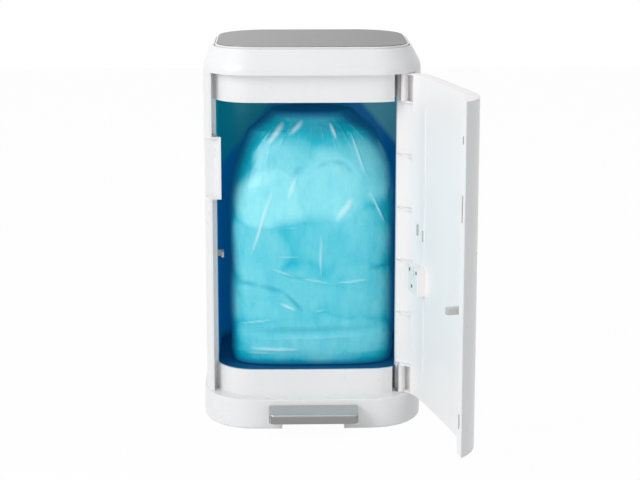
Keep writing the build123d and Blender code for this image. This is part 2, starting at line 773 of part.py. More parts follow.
with BuildPart() as clamp_pins:
    for sx in (-1, 1):
        with BuildSketch(Plane.XZ.offset(-throat_y)):
            with Locations((sx * flap_pin_x, flap_pin_z)):
                Circle(flap_pin_radius)
        extrude(amount=lug_y[1] + overcut, both=True)
write(clamp_pins, "clamp_pins")

for side, name in ((-1, "clamp_flap_left"), (1, "clamp_flap_right")):
    with BuildPart() as flap:
        span_x = sorted((side * (flap_pin_x - flap_length), side * flap_pin_x))
        with BuildSketch(Plane.XZ.offset(-throat_y)):
            with Locations((sum(span_x) / 2, flap_pin_z)):
                Rectangle(flap_length, flap_thick)
            with Locations((side * flap_pin_x, flap_pin_z)):
                Circle(flap_knuckle)
                Circle(flap_pin_radius + pin_clearance, mode=Mode.SUBTRACT)
        extrude(amount=flap_half, both=True)
        # thickened lip along the edge that nips the film
        lip_x = sorted((side * (flap_pin_x - flap_length), side * (flap_pin_x - flap_length + flap_lip)))
        block(lip_x, (throat_y - flap_half, throat_y + flap_half),
              (flap_pin_z - flap_thick, flap_pin_z + flap_thick))
    write(flap, name)

# ---- door, modelled shut -------------------------------------------------------------------

def trim_door():
    """Cut a full ring of wall back to the door's two upright edges."""
    block((-beyond, 0), (door_edge_y, beyond), full, Mode.SUBTRACT)
    block((0, beyond), (door_hinge_edge_y, beyond), full, Mode.SUBTRACT)


with BuildPart() as door_outer:
    wall(door_low, door_high, plan(), plan(door_wall))
    trim_door()
swing_open(door_outer)
write(door_outer, "door_outer")

panel_in = -door_panel_gap
panel_out = panel_in - door_panel_wall
skin_in = door_wall + gap / 3
with BuildPart() as door_inner:
    wall(door_low, door_high, inner_plan(panel_out), inner_plan(panel_in))
    wall(door_low, door_low + door_panel_wall, plan(skin_in), inner_plan(panel_in))
    wall(door_high - door_panel_wall, door_high, plan(skin_in), inner_plan(panel_in))
    # return along the free edge, with its slots
    with BuildSketch(Plane.XY.offset(door_low)) as edge_strip:
        add(plan(skin_in))
        add(inner_plan(panel_in), mode=Mode.SUBTRACT)
        with Locations((-half_width, door_edge_y - door_panel_wall / 2)):
            Rectangle(front_corner, door_panel_wall, mode=Mode.INTERSECT)
    extrude(edge_strip.sketch, amount=door_high - door_low)
    for low, high in edge_slots:
        block((edge_slot_left, edge_slot_left + edge_slot_wide),
              (door_edge_y - 2 * door_panel_wall, door_edge_y + overcut), (low, high), Mode.SUBTRACT)
    trim_door()
    block((strip_left, beyond), (-beyond, beyond), full, Mode.SUBTRACT)
swing_open(door_inner)
write(door_inner, "door_inner")

with BuildPart() as hinge_strip:
    wall(door_low, door_high, plan(skin_in), plan(skin_in + door_panel_wall))
    for i in range(rib_count):
        level = knuckle_low_top + i * (knuckle_high_low - knuckle_low_top - rib_thick) / (rib_count - 1)
        wall(level, level + rib_thick, plan(skin_in), inner_plan(panel_in))
    wall(door_low, door_low + rib_thick, plan(skin_in), inner_plan(panel_in))
    wall(door_high - rib_thick, door_high, plan(skin_in), inner_plan(panel_in))
    with BuildSketch(Plane.XY.offset(door_low)) as side_wall:
        add(plan(skin_in))
        add(inner_plan(panel_in), mode=Mode.SUBTRACT)
        with Locations((strip_left + gap / 3 + door_panel_wall / 2, -half_depth)):
            Rectangle(door_panel_wall, half_depth, mode=Mode.INTERSECT)
    extrude(side_wall.sketch, amount=door_high - door_low)
    block((-beyond, strip_left + gap / 3), (-beyond, beyond), full, Mode.SUBTRACT)
    post(door_hinge_x, door_hinge_y, door_low, knuckle_low_top, knuckle_radius)
    post(door_hinge_x, door_hinge_y, knuckle_high_low, door_high, knuckle_radius)
    trim_door()
    post(door_hinge_x, door_hinge_y, *full, hinge_pin_radius + pin_clearance, Mode.SUBTRACT)
swing_open(hinge_strip)
write(hinge_strip, "hinge_strip")

with BuildPart() as door_pin_lower:
    post(door_hinge_x, door_hinge_y, pin_floor, knuckle_low_top - lever_play, hinge_pin_radius)
    post(door_hinge_x, door_hinge_y, base_height, door_low - gap, hinge_pin_flange)
write(door_pin_lower, "door_pin_lower")

with BuildPart() as door_pin_upper:
    post(door_hinge_x, door_hinge_y, knuckle_high_low + lever_play, body_top + hinge_pin_depth - overcut,
         hinge_pin_radius)
    post(door_hinge_x, door_hinge_y, door_high + gap, body_top, hinge_pin_flange)
write(door_pin_upper, "door_pin_upper")

with BuildPart() as door_catch:
    with BuildSketch(Plane.XY.offset(latch_span_z[0] - catch_height - gap)) as stub:
        add(inner_plan(panel_in))
        with Locations((catch_x, catch_tip - half_depth)):
            Rectangle(catch_width, body_depth, mode=Mode.INTERSECT)
    extrude(amount=catch_height)
    fillet(door_catch.edges().filter_by(Axis.Z).group_by(Axis.Y)[-1], catch_round)
swing_open(door_catch)
write(door_catch, "door_catch")

# ---- film cutter on the door ----------------------------------------------------------------
cutter_face = -half_depth + frame_side + frame_set_back - door_panel_gap + cutter_depth
slit = (cutter_slit_x - cutter_slit / 2, cutter_slit_x + cutter_slit / 2)
blade_low = cutter_high - cutter_slit_depth - cutter_blade_tall / 2
blade_high = blade_low + cutter_blade_tall
blade_y = cutter_face - cutter_blade_tall * 0.6
blade_x = (cutter_slit_x - cutter_blade_half, cutter_slit_x + cutter_blade_half)
cutter_screw_places = (
    (cutter_right - 8.0, cutter_high - 7.0),
    (cutter_left + 7.0, cutter_high - 6.0),
    (cutter_left + 27.0, cutter_low + 10.0),
)

with BuildPart() as cutter_housing:
    with BuildSketch(Plane.XY.offset(cutter_low)):
        add(inner_plan(panel_in))
        with Locations(((cutter_left + cutter_right) / 2, cutter_face - half_depth)):
            Rectangle(cutter_right - cutter_left, body_depth, mode=Mode.INTERSECT)
    extrude(amount=cutter_high - cutter_low)
    face = cutter_housing.faces().sort_by(Axis.Y)[-1]
    fillet(face.edges(), cutter_round)
    block(slit, (cutter_face - cutter_blade_tall, cutter_face + overcut),
          (cutter_high - cutter_slit_depth, cutter_high + overcut), Mode.SUBTRACT)
    block((blade_x[0] - gap, blade_x[1] + gap), (blade_y - gap, blade_y + cutter_blade_thick + gap),
          (blade_low - gap, blade_high + gap), Mode.SUBTRACT)
    for x, z in cutter_screw_places:
        with Locations(Plane(origin=(x, cutter_face, z), z_dir=(0, 1, 0))):
            CounterBoreHole(cutter_screw_radius, cutter_screw_head + gap, cutter_screw_head_thick,
                            depth=cutter_screw_length)
swing_open(cutter_housing)
write(cutter_housing, "cutter_housing")

with BuildPart() as cutter_blade:
    block(blade_x, (blade_y, blade_y + cutter_blade_thick), (blade_low, blade_high))
swing_open(cutter_blade)
write(cutter_blade, "cutter_blade")

with BuildPart() as cutter_screws:
    for x, z in cutter_screw_places:
        with BuildSketch(Plane(origin=(x, cutter_face, z), z_dir=(0, -1, 0))):
            Circle(cutter_screw_head)
        extrude(amount=cutter_screw_head_thick)
        with BuildSketch(Plane(origin=(x, cutter_face, z), z_dir=(0, -1, 0))):
            Circle(cutter_screw_radius)
        extrude(amount=cutter_screw_length)
swing_open(cutter_screws)
write(cutter_screws, "cutter_screws")

# ---- latch ----------------------------------------------------------------------------------
jamb_in = -half_width + frame_side + frame_wall
with BuildPart() as latch_bolt:
    bolt_left = jamb_in - frame_wall - latch_tail
    block((bolt_left, jamb_in + latch_reach),
          (latch_y - latch_depth / 2, latch_y + latch_depth / 2),
          (latch_z - latch_height / 2, latch_z + latch_height / 2))
    block((jamb_in + latch_reach - latch_tip, jamb_in + latch_reach), (latch_y - latch_beak, latch_y),
          (latch_z - latch_height / 2, latch_z + latch_height / 2))
    nose = latch_bolt.edges().filter_by(Axis.Z).sort_by(Axis.Y)[:1]
    chamfer(nose, latch_nose)
write(latch_bolt, "latch_bolt")

# ---- liner bag ------------------------------------------------------------------------------
bag_width = 2 * (half_width - bag_side_room - frame_side - drum_inset)
bag_floor = drum_floor_top + gap
bag_levels = (
    (bag_floor, bag_width - 2 * bag_heel_in, bag_depth - 2 * bag_heel_in),
    (bag_floor + bag_heel, bag_width, bag_depth),
    (bag_shoulder, bag_width, bag_depth),
    (bag_top, bag_top_width, bag_top_depth),
)
with BuildPart() as liner_bag:
    for level, width, depth in bag_levels:
        with BuildSketch(Plane.XY.offset(level)):
            with Locations((bag_x, bag_y)):
                RectangleRounded(width, depth, min(bag_corner, depth / 2 - overcut))
    loft(ruled=True)
write(liner_bag, "liner_bag")
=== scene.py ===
"""Looks of a pedal nappy bin: finishes for its moulded, steel and film parts, and its liner bag.

Metres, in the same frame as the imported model. Laid out as a Blender add-on and run as a script.
"""

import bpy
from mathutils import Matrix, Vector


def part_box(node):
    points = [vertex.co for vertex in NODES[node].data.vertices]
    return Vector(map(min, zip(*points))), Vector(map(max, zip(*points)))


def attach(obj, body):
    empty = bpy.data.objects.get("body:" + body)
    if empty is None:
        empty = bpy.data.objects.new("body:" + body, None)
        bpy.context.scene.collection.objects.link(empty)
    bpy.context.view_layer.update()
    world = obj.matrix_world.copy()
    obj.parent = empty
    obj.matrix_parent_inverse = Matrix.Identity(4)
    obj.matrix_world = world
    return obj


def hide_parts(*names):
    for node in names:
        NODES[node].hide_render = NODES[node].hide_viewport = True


bl_info = {
    "name": "Nappy bin looks",
    "version": (1, 0, 0),
    "blender": (4, 5, 0),
    "location": "View3D > Sidebar > Nappy bin",
    "description": "Finishes and soft pieces for a pedal nappy bin",
    "category": "Object",
}

import math

import bmesh
import bpy
from bpy.props import (
    FloatProperty,
    FloatVectorProperty,
    IntProperty,
    PointerProperty,
)
from mathutils import Vector, noise

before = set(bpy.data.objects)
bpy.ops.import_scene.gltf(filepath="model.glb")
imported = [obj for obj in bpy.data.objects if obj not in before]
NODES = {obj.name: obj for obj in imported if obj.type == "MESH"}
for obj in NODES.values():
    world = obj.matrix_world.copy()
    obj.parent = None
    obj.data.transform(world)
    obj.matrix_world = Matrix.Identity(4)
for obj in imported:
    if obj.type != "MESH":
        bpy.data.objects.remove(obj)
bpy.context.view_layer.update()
BAG_LOW, BAG_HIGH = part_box("liner_bag")


# ---- sizes and colours that a user would change ---------------------------------------------
def colour_prop(name, description, default):
    """A colour that shows as a swatch."""
    return FloatVectorProperty(
        name=name, description=description, default=default, subtype="COLOR", min=0.0, max=1.0
    )


def length_prop(name, description, default):
    """A length in metres."""
    return FloatProperty(name=name, description=description, default=default, unit="LENGTH")


class BinFinishes(bpy.types.PropertyGroup):
    """Colours of the moulded, metal and film finishes."""

    shell_white: colour_prop("Shell white", "Outer mouldings", (0.83, 0.835, 0.84))
    panel_white: colour_prop("Panel white", "Inner door and strip", (0.925, 0.905, 0.903))
    grey_moulding: colour_prop("Grey moulding", "Latch and catch", (0.50, 0.51, 0.52))
    dark_moulding: colour_prop("Dark moulding", "Mechanism", (0.035, 0.04, 0.045))
    cassette_white: colour_prop("Cassette", "Refill cassette", (0.66, 0.72, 0.74))
    lining_navy: colour_prop("Lining", "Deep part of the chamber", (0.002, 0.26, 0.62))
    # Painted light: the lining's upper left corner, lit teal
    lining_lit_left: colour_prop("Lining, left", "Upper left of the chamber", (0.004, 0.40, 0.53))
    # Painted light: the lining's upper right corner, lit grey
    lining_lit_right: colour_prop("Lining, right", "Upper right of the chamber", (0.16, 0.60, 0.72))
    lining_floor: colour_prop("Lining, floor", "Floor of the chamber", (0.001, 0.07, 0.18))
    # Painted glow: the lining and the film's edges give off light, though no lamp is there
    lining_painted_glow: FloatProperty(
        name="Lining glow", description="Light that seeps through the thin lining", default=0.13
    )
    steel: colour_prop("Brushed steel", "Lid plate and pedal", (0.305, 0.305, 0.306))
    plated: colour_prop("Plated steel", "Pins, rod and screws", (0.55, 0.56, 0.57))
    black_zinc: colour_prop("Black zinc", "Screws of the cutter", (0.06, 0.06, 0.065))
    rubber: colour_prop("Rubber", "Feet and seal", (0.05, 0.052, 0.055))
    film_pack: colour_prop("Film", "Gathered film in the cassette", (0.16, 0.60, 0.72))
    bag_mid: colour_prop("Bag", "Film over the contents", (0.0, 0.50, 0.66))
    bag_pale: colour_prop("Bag, pressed", "Film pressed on a nappy", (0.29, 0.83, 0.92))
    # Deep tone of the film between nappies, also used as painted shade in the folds
    bag_deep: colour_prop("Bag, folds", "Film between nappies", (0.0, 0.38, 0.54))
    # Painted shade: the film darkened to the lining's navy at its sides, neck and base
    bag_shade_colour: colour_prop("Bag, edges", "Film over the dark lining", (0.001, 0.07, 0.19))
    # Painted highlight along the film's streaks
    bag_streak_highlight: colour_prop("Bag, streaks", "Film pulled taut", (0.70, 0.94, 0.97))


class BagSizes(bpy.types.PropertyGroup):
    """Sizes of the liner bag."""

    around: IntProperty(name="Around", description="Faces around", default=180, min=24)
    along: IntProperty(name="Along", description="Faces from base to neck", default=100, min=24)
    neck_half: length_prop("Neck", "Half the width of the neck", 0.063)
    slack: FloatProperty(name="Slack", description="Spare film gathered at the neck", default=0.30)
    settle: IntProperty(name="Settle", description="Steps of cloth simulation", default=12, min=2)
    fold_limit: length_prop("Fold limit", "How far the film may move as it settles", 0.010)
    lump_depth: length_prop("Lump depth", "How far a nappy bulges", 0.0042)
    streak_height: length_prop("Streak height", "Height of a taut streak", 0.0016)
    fold_depth: length_prop("Fold depth", "Depth of a slack fold", 0.0022)


class TrimSizes(bpy.types.PropertyGroup):
    """Sizes of the bead and the covers on the door's inner panel."""

    bead_across: length_prop("Bead", "Where the bead runs, from front to back", -0.155)
    bead_width: length_prop("Bead width", "Width of the bead", 0.0022)
    bead_height: length_prop("Bead height", "Height of the bead", 0.0009)
    bead_inset: length_prop("Bead inset", "From the panel's ends to the bead's ends", 0.047)
    cover_width: length_prop("Cover width", "Width of a cover", 0.005)
    cover_half: length_prop("Cover half", "Half the length of a cover", 0.009)
    cover_height: length_prop("Cover height", "Height of a cover", 0.0012)
    cover_cut: length_prop("Cover cut", "How far a cover's ends slope in", 0.0008)


class StageSizes(bpy.types.PropertyGroup):
    """Camera, lamps and floor."""

    camera_place: FloatVectorProperty(
        name="Camera", description="Place of the camera", default=(-0.0453, -2.4440, 0.8697),
        subtype="TRANSLATION", unit="LENGTH",
    )
    camera_yaw: FloatProperty(
        name="Yaw", description="Camera heading, to the right of straight back",
        default=math.radians(1.376), subtype="ANGLE",
    )
    camera_tilt: FloatProperty(
        name="Tilt", description="Camera tilt below level",
        default=math.radians(10.445), subtype="ANGLE",
    )
    camera_shift: FloatProperty(name="Shift", description="Vertical lens shift", default=-0.15)
    lens: FloatProperty(name="Lens", description="Focal length in mm", default=89.11, min=1.0)
    sky: FloatProperty(name="Sky", description="Strength of the even light", default=0.46)
    key: FloatProperty(name="Key", description="Power of the left lamp", default=50.0)
    fill: FloatProperty(name="Fill", description="Power of the front lamp", default=8.0)
    top: FloatProperty(name="Top", description="Power of the upper lamp", default=14.0)
    floor_half: length_prop("Floor", "Half the side of the floor", 4.0)
    floor_glow: FloatProperty(name="Floor glow", description="Share that is plain white", default=0.97)


# ---- shared helpers for finishes --------------------------------------------------------------
def new_finish(name):
    """An empty node material with its nodes, links and main shader."""
    material = bpy.data.materials.new(name)
    material.use_nodes = True
    tree = material.node_tree
    return material, tree.nodes, tree.links, tree.nodes["Principled BSDF"]


def place_of(nodes, links, scale=(1.0, 1.0, 1.0)):
    """Object coordinates, stretched by scale."""
    coordinates = nodes.new("ShaderNodeTexCoord")
    mapping = nodes.new("ShaderNodeMapping")
    mapping.inputs["Scale"].default_value = scale
    links.new(coordinates.outputs["Object"], mapping.inputs["Vector"])
    return mapping.outputs["Vector"]


def grain(nodes, links, place, size, detail=3.0, rough=0.5):
    """Noise whose grains are about size metres wide."""
    texture = nodes.new("ShaderNodeTexNoise")
    texture.inputs["Scale"].default_value = 1.0 / size
    texture.inputs["Detail"].default_value = detail
    texture.inputs["Roughness"].default_value = rough
    links.new(place, texture.inputs["Vector"])
    return texture.outputs["Fac"]


def spread(nodes, links, value, source, target):
    """A value moved from one range to another."""
    node = nodes.new("ShaderNodeMapRange")
    node.inputs["From Min"].default_value, node.inputs["From Max"].default_value = source
    node.inputs["To Min"].default_value, node.inputs["To Max"].default_value = target
    links.new(value, node.inputs["Value"])
    return node.outputs["Result"]


def mixed(nodes, links, factor, low, high):
    """A colour between two, each a colour or a socket."""
    node = nodes.new("ShaderNodeMix")
    node.data_type = "RGBA"
    links.new(factor, node.inputs["Factor"])
    sockets = [s for s in node.inputs if s.type == "RGBA"]
    for socket, colour in zip(sockets, (low, high)):
        if isinstance(colour, bpy.types.NodeSocket):
            links.new(colour, socket)
        else:
            socket.default_value = (*colour[:3], 1.0)
    return [s for s in node.outputs if s.type == "RGBA"][0]


def reckoned(nodes, links, operation, first, second=None, third=None):
    """One step of arithmetic on numbers or sockets."""
    node = nodes.new("ShaderNodeMath")
    node.operation = operation
    for socket, value in zip(node.inputs, (first, second, third)):
        if isinstance(value, bpy.types.NodeSocket):
            links.new(value, socket)
        elif value is not None:
            socket.default_value = value
    return node.outputs["Value"]


def raised(nodes, links, shader, height, depth, strength=1.0):
    """Bump of a given depth in metres."""
    bump = nodes.new("ShaderNodeBump")
    bump.inputs["Strength"].default_value = strength
    bump.inputs["Distance"].default_value = depth
    links.new(height, bump.inputs["Height"])
    links.new(bump.outputs["Normal"], shader.inputs["Normal"])


def shaded(colour, factor):
    """A colour made darker or lighter."""
    return tuple(min(1.0, channel * factor) for channel in colour)


# ---- finishes ---------------------------------------------------------------------------------
def moulded_plastic(name, colour, gloss, texture_depth, coat=0.0, streak=0.985):
    """Injection-moulded plastic: faint flow marks, a fine skin and slightly uneven gloss."""
    material, nodes, links, shader = new_finish(name)
    place = place_of(nodes, links)
    flow = grain(nodes, links, place_of(nodes, links, (1.0, 1.0, 0.35)), 0.09)
    links.new(
        mixed(nodes, links, spread(nodes, links, flow, (0.35, 0.65), (0.0, 1.0)),
              shaded(colour, streak), colour),
        shader.inputs["Base Color"],
    )
    patches = grain(nodes, links, place, 0.035)
    links.new(
        spread(nodes, links, patches, (0.3, 0.7), (gloss - 0.03, gloss + 0.04)),
        shader.inputs["Roughness"],
    )
    skin = grain(nodes, links, place, 0.0011, 2.0)
    raised(nodes, links, shader, skin, texture_depth, 0.12)
    shader.inputs["IOR"].default_value = 1.46
    shader.inputs["Coat Weight"].default_value = coat
    shader.inputs["Coat Roughness"].default_value = 0.12
    return material


# Where light reaches the lining: the neck's middle, the slant of the light line, and blurs
NECK_ACROSS, LIGHT_SLANT = 0.010, 1.2
LIGHT_LINE, FLOOR_LINE = (0.553, 0.566), (0.084, 0.100)


def chamber_lining(name, looks):
    """Dark lining with painted light in its upper corners, teal at left and grey at right, and a
    painted glow all over.
    """
    material, nodes, links, shader = new_finish(name)
    place = nodes.new("ShaderNodeTexCoord").outputs["Object"]
    split = nodes.new("ShaderNodeSeparateXYZ")
    links.new(place, split.inputs["Vector"])
    across, up = split.outputs["X"], split.outputs["Z"]
    side = spread(nodes, links, across, (-0.06, 0.06), (0.0, 1.0))
    # painted light in the upper corners, teal at left and grey at right
    lit_corner = mixed(nodes, links, side, looks.lining_lit_left, looks.lining_lit_right)
    # the light reaches past a slanting line on either side of the gathered neck
    aside = reckoned(nodes, links, "ABSOLUTE", reckoned(nodes, links, "SUBTRACT", across, NECK_ACROSS))
    slant = reckoned(nodes, links, "MULTIPLY_ADD", aside, LIGHT_SLANT, up)
    height = spread(nodes, links, slant, LIGHT_LINE, (0.0, 1.0))
    wall = mixed(nodes, links, height, looks.lining_navy, lit_corner)
    low = spread(nodes, links, up, FLOOR_LINE, (0.0, 1.0))
    tone = mixed(nodes, links, low, looks.lining_floor, wall)
    links.new(tone, shader.inputs["Base Color"])
    # painted glow: the lining gives off its own tone as light
    links.new(tone, shader.inputs["Emission Color"])
    shader.inputs["Emission Strength"].default_value = looks.lining_painted_glow
    links.new(
        spread(nodes, links, grain(nodes, links, place, 0.02), (0.3, 0.7), (0.38, 0.5)),
        shader.inputs["Roughness"],
    )
    raised(nodes, links, shader, grain(nodes, links, place, 0.0012, 2.0), 0.00005, 0.4)
    return material


def brushed_metal(name, colour, along, gloss, fade):
    """Steel brushed along one axis, with fine scratches and a painted light-and-shade gradient along
    another.

    fade holds an axis, two places on it and the share of the colour's strength at each.
    """
    material, nodes, links, shader = new_finish(name)
    stretch = [1.0 if axis == along else 60.0 for axis in "XYZ"]
    lines = grain(nodes, links, place_of(nodes, links, stretch), 0.05, 6.0, 0.75)
    split = nodes.new("ShaderNodeSeparateXYZ")
    links.new(place_of(nodes, links), split.inputs["Vector"])
    # painted reflection and highlight: the colour fades along one axis as light would fall
    axis, start, end, first, last = fade
    tone = spread(nodes, links, split.outputs[axis], (start, end), (0.0, 1.0))
    plain = mixed(nodes, links, tone, shaded(colour, first), shaded(colour, last))
    fine = mixed(nodes, links, tone, shaded(colour, 0.80 * first), shaded(colour, 0.80 * last))
    links.new(
        mixed(nodes, links, spread(nodes, links, lines, (0.3, 0.7), (0.0, 1.0)), fine, plain),
        shader.inputs["Base Color"],
    )
    links.new(
        spread(nodes, links, lines, (0.3, 0.7), (gloss - 0.05, gloss + 0.09)),
        shader.inputs["Roughness"],
    )
    shader.inputs["Metallic"].default_value = 1.0
    raised(nodes, links, shader, lines, 0.00003, 0.6)
    return material


def plated_metal(name, colour, gloss):
    """Plated steel with faint spangle and handling marks."""
    material, nodes, links, shader = new_finish(name)
    place = place_of(nodes, links)
    spangle = grain(nodes, links, place, 0.004)
    links.new(
        mixed(nodes, links, spread(nodes, links, spangle, (0.35, 0.65), (0.0, 1.0)),
              shaded(colour, 0.85), colour),
        shader.inputs["Base Color"],
    )
    links.new(
        spread(nodes, links, grain(nodes, links, place, 0.012), (0.3, 0.7), (gloss, gloss + 0.12)),
        shader.inputs["Roughness"],
    )
    shader.inputs["Metallic"].default_value = 1.0
    raised(nodes, links, shader, spangle, 0.00002, 0.5)
    return material


def soft_rubber(name, colour):
    """Matt rubber with a dusty bloom."""
    material, nodes, links, shader = new_finish(name)
    place = place_of(nodes, links)
    bloom = grain(nodes, links, place, 0.008)
    links.new(
        mixed(nodes, links, spread(nodes, links, bloom, (0.4, 0.7), (0.0, 1.0)),
              colour, shaded(colour, 1.9)),
        shader.inputs["Base Color"],
    )
    links.new(spread(nodes, links, bloom, (0.3, 0.7), (0.62, 0.8)), shader.inputs["Roughness"])
    raised(nodes, links, shader, grain(nodes, links, place, 0.0009, 2.0), 0.00006, 0.5)
    return material


def gathered_film(name, colour):
    """Many layers of tube film pushed together in the cassette."""
    material, nodes, links, shader = new_finish(name)
    layers = grain(nodes, links, place_of(nodes, links, (1.0, 1.0, 9.0)), 0.012, 5.0, 0.7)
    links.new(
        mixed(nodes, links, spread(nodes, links, layers, (0.35, 0.65), (0.0, 1.0)),
              shaded(colour, 0.55), shaded(colour, 1.2)),
        shader.inputs["Base Color"],
    )
    links.new(spread(nodes, links, layers, (0.3, 0.7), (0.2, 0.4)), shader.inputs["Roughness"])
    raised(nodes, links, shader, layers, 0.0006, 0.8)
    return material


def mark(nodes, name):
    """A value that the bag's mesh carries."""
    node = nodes.new("ShaderNodeAttribute")
    node.attribute_name = name
    return node.outputs["Fac"]


def bag_film(name, looks):
    """Thin tinted film: pale where it presses on a nappy, with painted highlights on its taut streaks,
    deep between nappies, with painted shade in its folds, and painted shade and a painted glow at its
    edges.
    """
    material, nodes, links, shader = new_finish(name)
    place = place_of(nodes, links)
    cloud = grain(nodes, links, place, 0.06, 2.0)
    hollow = reckoned(nodes, links, "MULTIPLY_ADD", cloud, 0.5, mark(nodes, "press"))
    low = mixed(nodes, links, spread(nodes, links, hollow, (0.05, 0.75), (0.0, 1.0)),
                looks.bag_deep, looks.bag_mid)
    crinkle = grain(nodes, links, place_of(nodes, links, (1.0, 1.0, 0.4)), 0.016, 5.0, 0.6)
    clouded = reckoned(nodes, links, "MULTIPLY_ADD", cloud, 0.45, mark(nodes, "pale"))
    clouded = reckoned(nodes, links, "MULTIPLY_ADD", crinkle, 0.55,
                       reckoned(nodes, links, "SUBTRACT", clouded, 0.275))
    pale = mixed(nodes, links, spread(nodes, links, clouded, (0.28, 1.18), (0.0, 1.0)),
                 low, looks.bag_pale)
    # painted shade: the film darkened to the deep tone in each fold
    folded = mixed(nodes, links, spread(nodes, links, mark(nodes, "fold"), (0.1, 1.0), (0.0, 0.8)),
                   pale, looks.bag_deep)
    # painted shade at the film's sides, neck and base
    edge = mark(nodes, "edge")
    rim = mixed(nodes, links, edge, folded, looks.bag_shade_colour)
    # painted glow: the film's edges give off the lining's navy as light
    links.new(mixed(nodes, links, edge, (0.0, 0.0, 0.0), looks.lining_navy),
              shader.inputs["Emission Color"])
    shader.inputs["Emission Strength"].default_value = looks.lining_painted_glow
    # painted highlight: the streaks lightened towards near white
    taut = mixed(nodes, links, spread(nodes, links, mark(nodes, "streak"), (0.15, 1.0), (0.0, 0.78)),
                 rim, looks.bag_streak_highlight)
    links.new(taut, shader.inputs["Base Color"])
    gloss = spread(nodes, links, grain(nodes, links, place, 0.03), (0.3, 0.7), (0.24, 0.36))
    links.new(reckoned(nodes, links, "MULTIPLY_ADD", edge, 0.6, gloss), shader.inputs["Roughness"])
    raised(nodes, links, shader, crinkle, 0.0016, 0.3)
    shader.inputs["Specular IOR Level"].default_value = 0.35
    links.new(spread(nodes, links, edge, (0.0, 0.6), (0.12, 0.0)), shader.inputs["Coat Weight"])
    shader.inputs["Coat Roughness"].default_value = 0.10
    return material


def dress(material, *names):
    """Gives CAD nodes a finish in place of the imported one."""
    for name in names:
        slots = NODES[name].material_slots
        for held in slots:
            held.material = material
        if not slots:
            NODES[name].data.materials.append(material)


# ---- new pieces -------------------------------------------------------------------------------
def piece_from(bm, name, material, body):
    """A finished mesh as an object that rides on a body."""
    mesh = bpy.data.meshes.new(name)
    bm.to_mesh(mesh)
    bm.free()
    piece = bpy.data.objects.new(name, mesh)
    bpy.context.scene.collection.objects.link(piece)
    mesh.materials.append(material)
    mesh.shade_smooth()
    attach(piece, body)
    return piece


def smoothstep(low, high, value):
    """0 below low, 1 above high, and a smooth rise between."""
    t = min(1.0, max(0.0, (value - low) / (high - low)))
    return t * t * (3.0 - 2.0 * t)


def wander(place):
    """A smooth drift in three directions that depends on the place alone, so it never changes."""
    return Vector([noise.noise(place + Vector((7.3 * i, 3.1, 5.7 * i))) for i in range(3)])


def straight_path(points, t):
    """Value at t on straight runs between (t, value) points."""
    for (t0, v0), (t1, v1) in zip(points, points[1:]):
        if t <= t1:
            return v0 + (v1 - v0) * (t - t0) / (t1 - t0)
    return points[-1][1]


# Wrapped nappies that press on the film: middle (x, y, z), half sizes, and how pale the film is
NAPPIES = (
    ((-0.066, -0.085, 0.350), (0.062, 0.055, 0.056), 0.9),
    ((0.028, -0.088, 0.372), (0.058, 0.055, 0.066), 0.75),
    ((-0.044, -0.078, 0.412), (0.050, 0.045, 0.040), 0.6),
    ((0.088, -0.070, 0.396), (0.050, 0.055, 0.056), 0.55),
    ((0.048, -0.090, 0.284), (0.096, 0.055, 0.056), 0.35),
    ((-0.086, -0.075, 0.268), (0.056, 0.055, 0.048), 0.5),
    ((-0.052, -0.090, 0.200), (0.094, 0.055, 0.050), 0.45),
    ((0.072, -0.085, 0.206), (0.072, 0.055, 0.052), 0.4),
    ((0.006, -0.090, 0.132), (0.134, 0.055, 0.042), 0.45),
    ((-0.110, 0.010, 0.350), (0.056, 0.066, 0.056), 0.5),
    ((0.112, 0.005, 0.330), (0.056, 0.066, 0.058), 0.5),
    ((-0.112, -0.005, 0.190), (0.056, 0.076, 0.056), 0.5),
    ((0.112, 0.000, 0.180), (0.056, 0.070, 0.062), 0.5),
    ((-0.050, 0.060, 0.370), (0.066, 0.055, 0.058), 0.9),
    ((0.062, 0.062, 0.330), (0.070, 0.055, 0.062), 0.6),
    ((-0.060, 0.062, 0.240), (0.076, 0.055, 0.056), 0.5),
    ((0.066, 0.062, 0.200), (0.070, 0.055, 0.056), 0.4),
    ((0.000, 0.062, 0.138), (0.120, 0.055, 0.044), 0.4),
)
# Taut streaks of film, low ridges coloured with a painted highlight: two ends (x, z), half width and
# strength, on the front and on the back
STREAKS = (
    ((-0.043, 0.466), (-0.068, 0.428), 0.0048, 0.9),
    ((-0.013, 0.468), (-0.036, 0.444), 0.0042, 0.8),
    ((0.026, 0.466), (0.038, 0.436), 0.0024, 1.0),
    ((0.057, 0.452), (0.084, 0.378), 0.0015, 0.9),
    ((0.086, 0.362), (0.114, 0.306), 0.0017, 0.9),
    ((-0.059, 0.370), (-0.096, 0.256), 0.0020, 1.0),
    ((-0.022, 0.392), (-0.040, 0.342), 0.0028, 0.7),
    ((0.064, 0.354), (0.035, 0.314), 0.0048, 0.85),
    ((0.012, 0.302), (0.013, 0.222), 0.0016, 0.8),
    ((-0.062, 0.260), (-0.012, 0.259), 0.0013, 0.5),
    ((-0.074, 0.300), (0.004, 0.310), 0.0016, 0.35),
    ((-0.070, 0.243), (-0.020, 0.226), 0.0017, 0.6),
    ((-0.020, 0.226), (0.034, 0.217), 0.0017, 0.6),
    ((0.030, 0.217), (0.092, 0.224), 0.0017, 0.75),
    ((-0.052, 0.187), (-0.024, 0.174), 0.0027, 0.8),
    ((0.000, 0.172), (0.024, 0.177), 0.0020, 0.55),
    ((-0.118, 0.149), (-0.056, 0.162), 0.0016, 0.7),
    ((-0.116, 0.128), (0.118, 0.134), 0.0026, 0.35),
    ((-0.104, 0.112), (-0.014, 0.112), 0.0028, 0.85),
    ((-0.112, 0.104), (-0.050, 0.106), 0.0018, 0.5),
    ((0.098, 0.440), (0.118, 0.398), 0.0036, 0.35),
)
